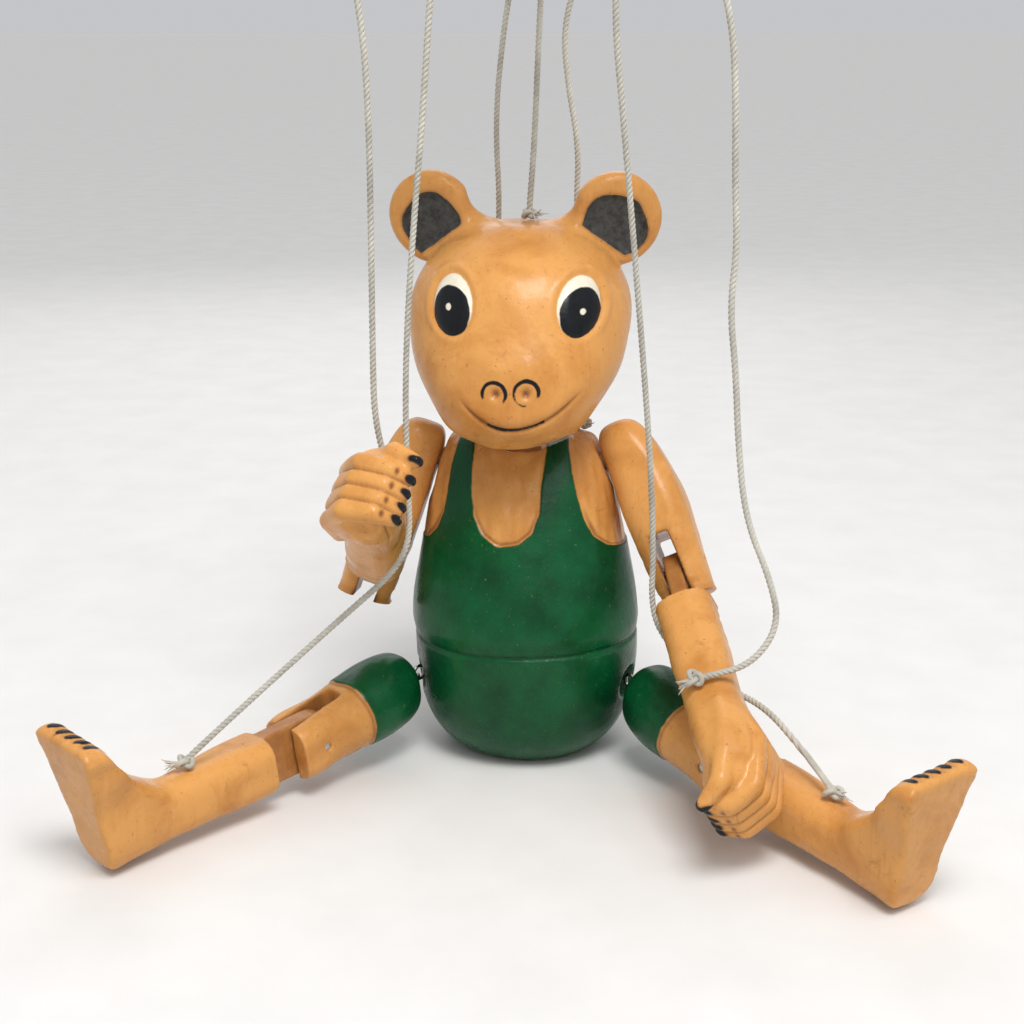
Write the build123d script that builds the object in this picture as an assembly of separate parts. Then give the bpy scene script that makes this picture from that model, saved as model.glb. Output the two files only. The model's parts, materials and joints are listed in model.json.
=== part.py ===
from build123d import *
import os
from math import cos, pi, radians, sin, tan

# A carved wooden bear marionette, seated, with its control and seven strings. Millimetres.
# The puppet faces -Y with +Z up; "left" and "right" are its own, and left is +X.
# It is laid out with the seat at z = 0. Export moves it so that the origin is the top of the
# hanging hole in the control, the point that holds the puppet up.

# Torso sections: height, half width, half depth, how far the middle is carried back
TORSO_SECTIONS = [
    (0, 22, 20, -3), (4, 29, 26, -3), (12, 34.5, 31.5, -3.5), (25, 38.5, 35, -4), (40, 39.7, 36.5, -4),
    (55, 39.2, 35.5, -3.5), (70, 37.2, 32, -2.5), (85, 35, 28, -1), (100, 32.5, 23, 0.5),
    (110, 29.5, 18.5, 2), (115, 23, 14, 2.5), (117, 15, 9, 3),
]
UPPER_X = -2.0          # the upper body and head stand this far to the puppet's right
LEAN_FROM = 40.0        # height from which the body leans that way
BODY_TOP = 117.0
NECK_HOLLOW_R = 24.0
NECK_HOLLOW_Z = 131.5

# Head sections, in the same terms, and the ears
HEAD_SECTIONS = [
    (114.5, 8, 7, -33), (118, 16, 14, -30), (126, 24.5, 23, -25.5), (133, 29.5, 30, -20),
    (141, 34.3, 34.5, -14.5), (151, 37.3, 37, -9), (160, 38.2, 36.5, -5.5), (170, 36, 34.5, -3),
    (179, 30, 29, -1), (185.5, 21.5, 21, 0), (189.5, 9, 9, 0),
]
EAR_R = 16.0
EAR_THICK = 8.0
EAR_POS = (31.5, 3.0, 190.5)

# Neck peg: turns in the torso, carries the head on a cross pin
NECK_R = 6.0
NECK_BOTTOM = 90.0
NECK_SHOULDER = 112.0
NECK_TONGUE = (5.0, 9.0)
NECK_Y = 2.0
NECK_PIN_Z = 140.0
NECK_PIN_LENGTH = 30.0

# Arms, down from the shoulder peg
SHOULDER_Z = 106.0
FACET_X = 28.5          # half distance between the shoulder facets at that height
FACET_TILT = {"left": 25.0, "right": 18.0}     # degrees that a facet looks up
ARM_GAP = 0.8
ARM_HALF = 9.5
UPPER_ARM = 46.5        # shoulder peg to elbow pin
ELBOW_END = 11.0        # the fork reaches this far past its pin
FOREARM_BLOCK = 18.0    # elbow pin to the square shoulders of the forearm
FOREARM = 104.0         # elbow pin to finger tips
ARM_TONGUE = 6.0
ARM_TONGUE_DEPTH = 12.0
ELBOW_SLOT = 13.0       # the fork is open this far above its pin
SHOULDER_PEG_R = 3.0
SHOULDER_PEG_IN = 14.0
HAND_DIGITS = [-11.5, -5.8, 0.0, 5.6, 10.8]

# Legs, down from the hip eye
HIP = (38.5, -12.0, 27.0)
THIGH = 53.0            # hip eye to knee pin
KNEE_END = 9.5
SHANK_BLOCK = 21.0      # knee pin to the square shoulders of the shank
SHANK = 86.0            # knee pin to the sole at the heel
LEG_TONGUE = 6.5
LEG_DEPTH = 19.0
KNEE_SLOT = 14.5
FOOT_RISE = 38.0        # from the middle of the leg to the toe tips

# Small metal parts and fits
PIN_R = 1.25
PIN_GAP = 0.06          # radial clearance of a turning pin or peg
SIDE_GAP = 0.6          # each side of a tongue in its fork
WIRE_R = 0.6
EYE_R = 2.5             # eye radius to the middle of the wire
EYE_STEP = 2 * EYE_R - 2 * WIRE_R - 0.1

# Rest pose in degrees: right arm raised by its string, left hand down, legs out on the floor
ARM_SWING = {"left": 25.0, "right": 11.0}
ELBOW = {"left": 33.0, "right": 114.0}
LEG_YAW = {"left": 40.5, "right": 37.5}
THIGH_PITCH = {"left": -12.0, "right": -10.0}
KNEE_LIFT = {"left": 8.0, "right": 5.0}

# Control: one long bar, a hand and leg bar under its front, a shoulder bar under its middle
CONTROL_X = 4.0
MAIN_BAR = (18.0, 140.0, 9.0)
MAIN_BAR_Y = -8.0
HAND_BAR = (134.0, 15.0, 7.0)
HAND_BAR_Y = -52.0
SHOULDER_BAR = (46.0, 13.0, 7.0)
SHOULDER_BAR_Y = 34.0
BAR_BOTTOM = 280.0
HANGING_R = 3.0
HANGING_Y = -15.0
HAND_HOLE = 54.0
LEG_HOLE = 27.5
SHOULDER_HOLE = 12.5
HEAD_HOLE_Y = 4.0
CORD_R = 1.1
CORD_HOLE_R = 2.0
KNOT_R = 2.1
KNOT_GAP = 0.1          # between a knot and what it is tied down to
WRIST_KNOT = (1.0, -12.7, -57.0)    # in the limb's own frame, from the joint above
ANKLE_KNOT = (0.0, -13.0, -50.0)
SHOULDER_KNOT = (21.5, 7.0, 117.4)

SIDES = {"left": 1, "right": -1}
BAR_TOP = BAR_BOTTOM + HAND_BAR[2]
CONTROL_TOP = BAR_TOP + MAIN_BAR[2]
ORIGIN = Vector(CONTROL_X, HANGING_Y, CONTROL_TOP)


def section_loft(sections, shift=lambda z: 0.0):
    """Closed body through level ellipses."""
    return loft([Pos(shift(z), y, z) * Ellipse(rx, ry).face() for z, rx, ry, y in sections])


def block_loft(sections):
    """Closed body through level rounded rectangles: height, width, depth, corner, x and y of the middle."""
    return loft([Pos(x, y, z) * RectangleRounded(w, d, r).face() for z, w, d, r, x, y in sections])


def capsule_chain(points, radii):
    """A rounded finger through the given points."""
    body = Pos(*points[0]) * Sphere(radii[0])
    for (a, ra), (b, rb) in zip(zip(points, radii), zip(points[1:], radii[1:])):
        step = Vector(*b) - Vector(*a)
        bone = Plane(origin=a, z_dir=step) * Cone(ra, rb, step.length, align=(Align.CENTER, Align.CENTER, Align.MIN))
        body = body + bone + Pos(*b) * Sphere(rb)
    return body


def rod_x(radius, length):
    """Round rod along X, centred."""
    return Rot(0, 90, 0) * Cylinder(radius, length)


def eye_ring():
    """Wire ring in the XZ plane."""
    return Rot(90, 0, 0) * Torus(EYE_R, WIRE_R)


def lean(z):
    """Sideways shift of the body at a height."""
    return UPPER_X * min(1.0, max(0.0, (z - LEAN_FROM) / (BODY_TOP - LEAN_FROM)))


# Places of the limbs

def facet_place(side):
    """Frame on a shoulder facet: X points to +X along the peg, -Z runs down the facet."""
    s = SIDES[side]
    tilt = radians(FACET_TILT[side])
    normal = Vector(s * cos(tilt), 0, sin(tilt))
    origin = Vector(lean(SHOULDER_Z) + s * FACET_X, 0, SHOULDER_Z)
    return Plane(origin=origin, x_dir=normal * s, z_dir=Vector(-s * sin(tilt), 0, cos(tilt))).location


def arm_place(side):
    s = SIDES[side]
    return facet_place(side) * Pos(s * (ARM_GAP + ARM_HALF), 0, 0) * Rot(-ARM_SWING[side], 0, 0)


def forearm_place(side):
    return arm_place(side) * Pos(0, 0, -UPPER_ARM) * Rot(-ELBOW[side], 0, 0)


def hip_place(side):
    """Frame at the hip eye: -Z level and out along the leg's heading, X is the hinge, -Y is up."""
    s = SIDES[side]
    yaw = radians(LEG_YAW[side])
    heading = Vector(s * sin(yaw), -cos(yaw), 0)
    hinge = Vector(cos(yaw), s * sin(yaw), 0)
    return Plane(origin=(s * HIP[0], HIP[1], HIP[2]), x_dir=hinge, z_dir=heading * -1).location


def leg_place(side):
    return hip_place(side) * Rot(-THIGH_PITCH[side], 0, 0)


def shank_place(side):
    return leg_place(side) * Pos(0, 0, -THIGH) * Rot(-KNEE_LIFT[side], 0, 0)


# Body and head

def torso():
    body = section_loft(TORSO_SECTIONS, lean)
    body -= Pos(UPPER_X, NECK_Y - 3, NECK_HOLLOW_Z) * Sphere(NECK_HOLLOW_R)
    depth = BODY_TOP - NECK_BOTTOM + 0.4
    body -= Pos(UPPER_X, NECK_Y, NECK_BOTTOM - 0.4 + depth / 2) * Cylinder(NECK_R + PIN_GAP, depth)
    for side, s in SIDES.items():
        body -= facet_place(side) * Pos(s * 20, 0, 0) * Box(40, 90, 120)
        body -= facet_place(side) * rod_x(SHOULDER_PEG_R + PIN_GAP, 2 * SHOULDER_PEG_IN + 1)
        body -= hip_place(side) * Pos(0, 0, 0.5) * hip_pocket()
        body -= hip_place(side) * Pos(0, 0, 8) * Cylinder(WIRE_R + 0.3, 13)
    return body


def hip_pocket():
    """Hollow round the hip eye, open along the leg's heading."""
    return Pos(0, 0, -8) * Cone(13, 5.5, 24)


def head():
    """Head with its ears, and the slot that takes the neck peg."""
    body = Pos(UPPER_X, 0, 0) * section_loft(HEAD_SECTIONS)
    for s in SIDES.values():
        x, y, z = EAR_POS
        ear = Rot(90, 0, 0) * Cylinder(EAR_R, EAR_THICK)
        ear = fillet(ear.edges(), EAR_THICK * 0.42)
        body += Pos(UPPER_X + s * x, y, z) * Rot(8, 0, s * 14) * ear
    slot_height = NECK_PIN_Z + 7 - 108
    slot = Pos(UPPER_X, NECK_Y, 108 + slot_height / 2) * Box(NECK_TONGUE[0] + 2 * SIDE_GAP, 21, slot_height)
    body -= slot
    body -= Pos(UPPER_X, NECK_Y, NECK_PIN_Z) * rod_x(PIN_R, NECK_PIN_LENGTH)
    return body


def neck_peg():
    height = NECK_SHOULDER - NECK_BOTTOM
    peg = Pos(0, 0, NECK_BOTTOM + height / 2) * Cylinder(NECK_R, height)
    tongue_height = NECK_PIN_Z - NECK_SHOULDER + 1
    peg += Pos(0, 0, NECK_SHOULDER - 1 + tongue_height / 2) * Box(*NECK_TONGUE, tongue_height)
    peg += Pos(0, 0, NECK_PIN_Z) * rod_x(NECK_TONGUE[1] / 2, NECK_TONGUE[0])
    peg -= Pos(0, 0, NECK_PIN_Z) * rod_x(PIN_R + PIN_GAP, 20)
    return Pos(UPPER_X, NECK_Y, 0) * peg


def neck_pin():
    return Pos(UPPER_X, NECK_Y, NECK_PIN_Z) * rod_x(PIN_R, NECK_PIN_LENGTH - 0.2)


# Arms, built for the left side with X outward and the thumb on -Y; the right side is mirrored

def upper_arm():
    body = block_loft([
        (10, 9, 9, 3.8, -1.5, 0), (7, 15, 17, 6, -1, 0), (0, 18.6, 20.5, 7, 0, 0), (-16, 21.5, 22.5, 7, 1, 0),
        (-34, 21.5, 21.5, 7, 1, 0), (-UPPER_ARM - ELBOW_END, 20, 19, 6.5, 0.8, 0),
    ])
    slot_top = -UPPER_ARM + ELBOW_SLOT
    slot_height = slot_top + UPPER_ARM + ELBOW_END + 5
    body -= Pos(0, 0, slot_top - slot_height / 2) * Box(ARM_TONGUE + 2 * SIDE_GAP, 40, slot_height)
    body -= Pos(-ARM_HALF - 10, 0, -25) * Box(20, 60, 100)
    body -= Pos(0, 0, -UPPER_ARM) * rod_x(PIN_R, 60)
    body -= Pos(-ARM_HALF, 0, 0) * rod_x(SHOULDER_PEG_R, 2 * SHOULDER_PEG_IN)
    return body


def shoulder_peg():
    """Wooden peg, glued in the arm, turning in the torso."""
    inner = -ARM_HALF - ARM_GAP - SHOULDER_PEG_IN + 0.3
    outer = -ARM_HALF + SHOULDER_PEG_IN - 0.3
    return Pos((inner + outer) / 2, 0, 0) * rod_x(SHOULDER_PEG_R, outer - inner)


def elbow_pin():
    return Pos(0.8, 0, -UPPER_ARM) * rod_x(PIN_R, 18.5)


def forearm():
    """Tongue, square shouldered forearm and curled paw, down from the elbow pin."""
    block = -FOREARM_BLOCK
    body = block_loft([
        (block, 18.5, 19.5, 6.5, 0, 0), (-34, 18.5, 19, 7, 0, 0), (-52, 18.5, 18.5, 7, 0.5, 0),
        (-62, 18.5, 20.5, 7, 1, 0), (-72, 20, 26, 8, 2, 0), (-82, 19, 30, 8, 2.5, 0), (-90, 15, 29, 6.5, 2, 0),
    ])
    neck = FOREARM_BLOCK + 1
    body += Pos(0, 0, -neck / 2) * Box(ARM_TONGUE, ARM_TONGUE_DEPTH, neck)
    body += rod_x(ARM_TONGUE_DEPTH / 2, ARM_TONGUE)
    tip = -FOREARM + 3.3
    for y in HAND_DIGITS[1:]:
        route = [(9, y, -68), (12, y * 1.05, -82), (7.5, y, tip + 4), (-2, y * 0.9, tip), (-8.5, y * 0.8, tip + 2.5)]
        body += capsule_chain(route, [2.6, 3.3, 3.5, 3.2, 2.4])
    thumb = [(4, -9, -66), (4.5, -12.5, -80), (-1, -12.5, tip + 5), (-8.5, -10.5, tip)]
    body += capsule_chain(thumb, [3, 3.8, 3.6, 2.6])
    body -= rod_x(PIN_R + PIN_GAP, 30)
    return body


# Hips and legs, -Z down the leg and -Y its front; the right side is mirrored

def torso_hip_eye():
    """Screw eye in the torso, its ring in the plane that the leg swings in."""
    ring = Rot(0, 90, 0) * Torus(EYE_R, WIRE_R)
    shaft = Pos(0, 0, EYE_R + 5.5) * Cylinder(WIRE_R, 11)
    return ring + shaft


def thigh_eye():
    """Screw eye in the top of the thigh, threaded through the torso's eye."""
    shaft = Pos(0, 0, -EYE_R - 6.5) * Cylinder(WIRE_R, 13)
    return Pos(0, 0, -EYE_STEP) * (eye_ring() + shaft)


def thigh():
    end = -(THIGH + KNEE_END)
    body = block_loft([
        (-6.5, 13, 14, 6, 1.5, 0), (-8.5, 20, 21, 9, 1, 0), (-13, 24, 25, 11.5, 0.5, 0), (-26, 25.5, 26, 12, 0, 0),
        (-38, 24, 24, 10.5, 0, 0), (-50, 22.5, 21.5, 8, 0, 0), (end, 21.5, 19.5, 6.5, 0, 0),
    ])
    slot_top = -THIGH + KNEE_SLOT
    slot_height = slot_top - end + 5
    body -= Pos(0, 0, slot_top - slot_height / 2) * Box(LEG_TONGUE + 2 * SIDE_GAP, 60, slot_height)
    body -= Pos(0, 0, -THIGH) * rod_x(PIN_R, 60)
    body -= Pos(0, 0, -5.5) * Cone(3.4, 6.2, 9)
    body -= Pos(0, 0, -EYE_STEP - 10) * Cylinder(WIRE_R, 20)
    return body


def knee_pin():
    return Pos(0, 0, -THIGH) * rod_x(PIN_R, 20.5)


def shank():
    """Tongue, shank and foot in one piece; the foot rises along -Y at the end."""
    leg = block_loft([
        (-SHANK_BLOCK, 20, 19.5, 6, 0, 0), (-40, 19.5, 20, 7.5, 0, 0), (-60, 18, 19, 7.5, 0, 0),
        (-SHANK + 12, 19, 20, 8, 0, 0),
    ])
    leg += Pos(0, 0, -SHANK_BLOCK / 2 - 0.5) * Box(LEG_TONGUE, LEG_DEPTH, SHANK_BLOCK + 1)
    leg += rod_x(LEG_DEPTH / 2, LEG_TONGUE)
    leg -= rod_x(PIN_R + PIN_GAP, 30)
    return leg + foot()


def foot():
    """Side outline of the foot cut to its outline seen from the sole."""
    sole = -SHANK
    side = Polyline((10, sole + 20), (10, sole + 6))
    side += Spline((10, sole + 6), (8.5, sole + 1), (3, sole - 0.5), tangents=((0, -1), (-1, -0.12)))
    side += Line((3, sole - 0.5), (-FOOT_RISE + 2, sole - 6.5))
    side += Spline((-FOOT_RISE + 2, sole - 6.5), (-FOOT_RISE, sole - 3), (-FOOT_RISE + 3.5, sole + 2),
                   tangents=((-1, -0.16), (1, 0.7)))
    side += Spline((-FOOT_RISE + 3.5, sole + 2), (-18, sole + 11), (-9.3, sole + 24), tangents=((1, 0.7), (0.3, 1)))
    side += Line((-9.3, sole + 24), (10, sole + 20))
    profile = Plane.YZ * make_face(side)
    plate = extrude(profile, amount=15, both=True)
    outline = Spline(
        (0, 10.2), (8.8, 4), (9.5, -12), (13.2, -28), (8, -FOOT_RISE - 0.5), (-8, -FOOT_RISE - 0.5), (-13.2, -28),
        (-9.5, -12), (-8.8, 4), periodic=True,
    )
    cutter = extrude(Pos(0, 0, sole - 15) * make_face(outline), amount=60)
    return plate & cutter


# Control

def main_bar():
    """Long bar, with the hanging hole and the hole of the head string."""
    bar = Pos(CONTROL_X, MAIN_BAR_Y, BAR_TOP + MAIN_BAR[2] / 2) * Box(*MAIN_BAR)
    bar = fillet(bar.edges().filter_by(Axis.Z), 5)
    bar = fillet(bar.edges().group_by(Axis.Z)[-1], 1.5)
    bar -= Pos(CONTROL_X, HANGING_Y, BAR_TOP) * Cylinder(HANGING_R, 40)
    bar -= Pos(CONTROL_X, HEAD_HOLE_Y, BAR_TOP) * Cylinder(CORD_HOLE_R, 40)
    for y in (HAND_BAR_Y, SHOULDER_BAR_Y):
        bar -= Pos(CONTROL_X, y, BAR_TOP + MAIN_BAR[2] / 2) * Cylinder(1.5, 30)
    return bar


def cross_bar(size, y, holes):
    """Bar under the main bar, drilled for its strings and its screw."""
    bar = Pos(CONTROL_X, y, BAR_BOTTOM + size[2] / 2) * Box(*size)
    bar = fillet(bar.edges().filter_by(Axis.Z), 4.5)
    bar = fillet(bar.edges().group_by(Axis.Z)[0], 1.2)
    for x in holes:
        bar -= Pos(CONTROL_X + x, y, BAR_BOTTOM) * Cylinder(CORD_HOLE_R, 30)
    return bar - Pos(CONTROL_X, y, BAR_TOP) * Cylinder(1.5, 9)


def hand_bar():
    return cross_bar(HAND_BAR, HAND_BAR_Y, (-HAND_HOLE, -LEG_HOLE, LEG_HOLE, HAND_HOLE))


def shoulder_bar():
    return cross_bar(SHOULDER_BAR, SHOULDER_BAR_Y, (-SHOULDER_HOLE, SHOULDER_HOLE))


def bar_screws():
    """Round headed screws that hold the two cross bars."""
    screws = []
    for y in (HAND_BAR_Y, SHOULDER_BAR_Y):
        shank_length = MAIN_BAR[2] + 4
        screw = Pos(0, 0, CONTROL_TOP - shank_length / 2) * Cylinder(1.5, shank_length)
        cap = Sphere(3.6) & (Pos(0, 0, 5) * Box(10, 10, 10))
        cap -= Pos(0, 0, 3.4) * Box(9, 0.9, 2)
        screws.append(Pos(CONTROL_X, y, 0) * (screw + Pos(0, 0, CONTROL_TOP) * cap))
    return Compound(children=screws)


# Strings: hand made routes, from the control down to the knot on the puppet

def string_routes():
    top = BAR_TOP - KNOT_GAP
    return {
        "string_right_hand": [
            (-50, -52, top), (-50, -52, 274), (-46.5, -52, 250), (-45, -52.3, 222), (-45, -51.5, 186),
            (-44.6, -51.2, 152), (-44, -51, 130), (-40.5, -48.7, 110.3),
        ],
        "string_right_leg": [
            (-23.5, -52, top), (-23.5, -52, 274), (-25.3, -52.3, 253), (-27.6, -52.8, 224), (-31, -53.6, 190),
            (-33.9, -54.6, 150), (-34, -54.8, 112), (-33.1, -54.5, 91.6), (-37.3, -60.7, 82.2),
            (-51.3, -67.6, 70.4), (-75.5, -80, 49.4), (-98.6, -92.3, 28.8),
        ],
        "string_right_shoulder": [
            (-8.5, 34, top), (-8.5, 34, 274), (-11.5, 34, 254), (-15.6, 34.3, 221), (-13.8, 34.5, 188),
            (-17, 34.5, 160), (-21, 23, 138), (-23.1, 9.4, 120.5),
        ],
        "string_head": [
            (4, 4, CONTROL_TOP - KNOT_GAP), (4, 4, 275), (2.6, 3.6, 243), (1.6, 3, 215), (0.2, 2, 195.6),
        ],
        "string_left_shoulder": [
            (16.5, 34, top), (16.5, 34, 274), (12.5, 34, 254), (10.5, 34.3, 234), (14.5, 34, 212),
            (13.6, 34.5, 190), (15.3, 34.5, 162), (18.6, 24, 138), (19.4, 9.5, 120.4),
        ],
        "string_left_leg": [
            (31.5, -52, top), (31.5, -52, 274), (31.2, -51, 254), (34, -49.5, 228), (37.9, -46, 189),
            (41.5, -43, 152), (44.5, -39, 118), (46.2, -34.4, 84), (45.8, -31.4, 61), (52, -33, 50),
            (61.3, -39.9, 43.5), (74.5, -51.5, 41.3), (85, -62.7, 40.3), (94.6, -75.2, 34),
            (103.2, -87, 26.9),
        ],
        "string_left_hand": [
            (58, -52, top), (58, -52, 274), (63, -52, 255), (65.8, -52, 232), (67.8, -53, 208),
            (70, -54, 189), (68.4, -55, 170), (71, -56.5, 150), (72.4, -58, 129), (75.6, -61, 104),
            (84.3, -65, 85), (87.5, -68.3, 71), (79, -72.5, 59), (64.9, -74.2, 55.2),
        ],
    }


def bend_radii(route):
    """Radius of the arc at each inner point: 0.45 of the shorter run over the tangent of half the turn."""
    radii = []
    for a, b, c in zip(route, route[1:], route[2:]):
        before = Vector(*b) - Vector(*a)
        after = Vector(*c) - Vector(*b)
        half_turn = radians(before.get_angle(after)) / 2
        radii.append(0.45 * min(before.length, after.length) / tan(half_turn))
    return radii


def string_tube(name, route):
    radii = bend_radii(route)
    path = FilletPolyline(*route, radius=radii)
    start = Plane(origin=route[0], z_dir=Vector(*route[1]) - Vector(*route[0]))
    tube = sweep(start * Circle(CORD_R), path=path)
    expected = pi * CORD_R**2 * path.length
    shape = " ".join(f"{r:.0f}" for r in radii)
    print(f"{name}: {path.length:.1f} long, radii {shape}, volume {tube.volume / expected:.3f} of section x length")
    return tube


def knot_at(place, position):
    """Overhand knot: a ball with the cord's own turn across it."""
    knot = Sphere(KNOT_R) + Pos(0, 0.5, 1.2) * Rot(90, 0, 30) * Cylinder(CORD_R - 0.15, 2.6 * KNOT_R)
    return place * Pos(*position) * knot


def control_knots():
    """Knots that keep the strings from slipping down through the bars."""
    knots = [knot_at(Location(), (x, y, z + 2 * KNOT_GAP + KNOT_R)) for (x, y, z), *_ in string_routes().values()]
    return Compound(children=knots)


def build():
    parts = {
        "torso": torso(),
        "head": head(),
        "neck_peg": neck_peg(),
        "neck_pin": neck_pin(),
        "control_main_bar": main_bar(),
        "control_hand_bar": hand_bar(),
        "control_shoulder_bar": shoulder_bar(),
        "control_screws": bar_screws(),
        "control_knots": control_knots(),
        "knot_head": knot_at(Location(), (UPPER_X + 2, 2, HEAD_SECTIONS[-1][0] + KNOT_R + KNOT_GAP)),
    }
    for side, s in SIDES.items():
        mirrored = (lambda shape: shape) if s == 1 else (lambda shape: mirror(shape, Plane.YZ))
        arm = arm_place(side)
        lower = forearm_place(side)
        leg = leg_place(side)
        foot_end = shank_place(side)
        parts[f"upper_arm_{side}"] = arm * mirrored(upper_arm())
        parts[f"shoulder_peg_{side}"] = arm * mirrored(shoulder_peg())
        parts[f"elbow_pin_{side}"] = arm * mirrored(elbow_pin())
        parts[f"forearm_{side}"] = lower * mirrored(forearm())
        parts[f"hip_eye_{side}"] = hip_place(side) * torso_hip_eye()
        parts[f"thigh_eye_{side}"] = leg * thigh_eye()
        parts[f"thigh_{side}"] = leg * mirrored(thigh())
        parts[f"knee_pin_{side}"] = leg * knee_pin()
        parts[f"shank_{side}"] = foot_end * mirrored(shank())
        parts[f"knot_wrist_{side}"] = knot_at(lower, (-s * WRIST_KNOT[0], *WRIST_KNOT[1:]))
        parts[f"knot_ankle_{side}"] = knot_at(foot_end, ANKLE_KNOT)
        parts[f"knot_shoulder_{side}"] = knot_at(Location(), (UPPER_X + s * SHOULDER_KNOT[0], *SHOULDER_KNOT[1:]))
    for name, route in string_routes().items():
        parts[name] = string_tube(name, route)
    return parts


os.makedirs("parts", exist_ok=True)
for node, solid in build().items():
    export_step(Location(ORIGIN * -1) * solid, f"parts/{node}.step")
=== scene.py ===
import json
import math

import bmesh
import bpy
import numpy as np
from mathutils import Matrix, Vector


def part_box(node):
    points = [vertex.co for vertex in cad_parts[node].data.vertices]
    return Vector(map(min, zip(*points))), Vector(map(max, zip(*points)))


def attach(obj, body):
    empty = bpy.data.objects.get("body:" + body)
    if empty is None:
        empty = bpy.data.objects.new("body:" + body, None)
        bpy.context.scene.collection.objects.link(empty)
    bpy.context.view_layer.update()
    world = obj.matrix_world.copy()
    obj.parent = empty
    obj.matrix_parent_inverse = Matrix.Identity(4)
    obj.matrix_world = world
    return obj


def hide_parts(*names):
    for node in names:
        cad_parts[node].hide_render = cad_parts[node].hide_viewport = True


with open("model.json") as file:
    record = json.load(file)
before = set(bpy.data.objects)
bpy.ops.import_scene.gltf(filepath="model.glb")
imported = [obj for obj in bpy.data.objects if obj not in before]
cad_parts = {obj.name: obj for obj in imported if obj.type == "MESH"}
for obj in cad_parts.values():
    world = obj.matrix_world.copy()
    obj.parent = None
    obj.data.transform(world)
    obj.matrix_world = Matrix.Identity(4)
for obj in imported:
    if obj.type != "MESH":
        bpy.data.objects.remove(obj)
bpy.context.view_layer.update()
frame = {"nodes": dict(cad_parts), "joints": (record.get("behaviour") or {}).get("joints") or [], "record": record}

# A carved wooden bear marionette, painted and varnished, seated, on seven cotton strings.
# The wooden pieces are remeshed from their CAD nodes and carved further, each in its own frame
# in millimetres: a limb runs down its -Z with its front on -Y and its outer side on +X, and the
# body and head share the seated frame, with the seat at z = 0 and the face on -Y.

MM = 0.001
NODES = frame["nodes"]
JOINTS = {joint["name"]: joint for joint in frame["joints"]}
MOUNTS = {mount["name"]: mount for mount in frame["record"]["mounts"]}
SIDES = {"left": 1, "right": -1}
BODY_OF = {
    node: body for body, nodes in frame["record"]["behaviour"]["bodies"].items() for node in nodes
}

# Bend of each lower limb at rest, in degrees, as the CAD model stands
REST_ELBOW = {"left": 33.0, "right": 114.0}
REST_KNEE = {"left": 8.0, "right": 5.0}

VOXEL = 0.6      # grain of the carved meshes, in millimetres
SEAT_Y = -3.0                           # the seat mount, in the seated frame
HEAD_X = -2.0                           # the head and upper body lean to the puppet's right
NO_PAINT = -5.0                         # value of a paint layer well outside its paint


# Frames

def place(origin, x_axis, z_axis, side=1):
    """Matrix from a local frame in millimetres to the row frame; side -1 mirrors it along X."""
    z = Vector(z_axis).normalized()
    x = Vector(x_axis).normalized()
    turn = Matrix((x, z.cross(x), z)).transposed().to_4x4()
    return Matrix.Translation(origin) @ turn @ Matrix.Diagonal((side * MM, MM, MM, 1.0))


def joint_at(name):
    return Vector(JOINTS[name]["pos_m"]), Vector(JOINTS[name]["axis"])


def bent(matrix, origin, degrees):
    """The same frame moved to origin and bent forward about its own X."""
    moved = matrix.copy()
    moved.translation = origin
    return moved @ Matrix.Rotation(math.radians(-degrees), 4, "X")


def seated_frame():
    seat = Vector(MOUNTS["seat"]["pos_m"])
    return place(seat - Vector((0.0, SEAT_Y * MM, 0.0)), (1, 0, 0), (0, 0, 1))


def limb_frames(side):
    """Frames of the four wooden pieces of one side's limbs."""
    s = SIDES[side]
    shoulder, arm_axis = joint_at(f"shoulder_{side}")
    elbow, _ = joint_at(f"elbow_{side}")
    hip, hip_axis = joint_at(f"hip_{side}")
    knee, _ = joint_at(f"knee_{side}")
    arm = place(shoulder, -arm_axis, shoulder - elbow, s)
    leg = place(hip, -hip_axis, hip - knee, s)
    return {
        f"upper_arm_{side}": arm,
        f"forearm_{side}": bent(arm, elbow, REST_ELBOW[side]),
        f"thigh_{side}": leg,
        f"shank_{side}": bent(leg, knee, REST_KNEE[side]),
    }


SEATED = seated_frame()
FRAMES = {"torso": SEATED, "head": SEATED, **limb_frames("left"), **limb_frames("right")}


# Shaping helpers. p is an array of points, in millimetres.

# The knife's marks on each kind of piece: their depth, their length, and the seed of their order
KNIFE_MARKS = {
    "head": (0.14, 24.0, 3), "torso": (0.20, 26.0, 7), "chest": (0.25, 5.0, 23),
    "upper_arm": (0.16, 15.0, 11), "forearm": (0.13, 14.0, 13),
    "thigh": (0.17, 16.0, 17), "shank": (0.14, 15.0, 19),
}
KNIFE_WAVES = 7


def step(low, high, value):
    """Smooth rise from 0 at low to 1 at high."""
    t = np.clip((value - low) / (high - low), 0.0, 1.0)
    return t * t * (3.0 - 2.0 * t)


def hill(distance, width):
    """Smooth bump of height 1 and about that half width."""
    return np.exp(-((distance / width) ** 2))


def ellipse(x, z, centre, radii):
    """Signed distance to an ellipse, about right near its edge, positive inside."""
    a, b = (x - centre[0]) / radii[0], (z - centre[1]) / radii[1]
    r = np.sqrt(a * a + b * b) + 1e-9
    return (1.0 - r) * np.sqrt((a * radii[0]) ** 2 + (b * radii[1]) ** 2) / r


def chisel(p, piece):
    """Slow uneven waves in height, like the planes a knife leaves."""
    depth, length, seed = KNIFE_MARKS[piece]
    random = np.random.default_rng(seed)
    total = np.zeros(len(p))
    for _ in range(KNIFE_WAVES):
        direction = random.normal(size=3)
        direction *= 2.0 * math.pi / (np.linalg.norm(direction) * length * random.uniform(0.7, 1.6))
        total += np.sin(p @ direction + random.uniform(0.0, 6.28))
    return depth * (total / math.sqrt(KNIFE_WAVES))


# Meshes

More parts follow.
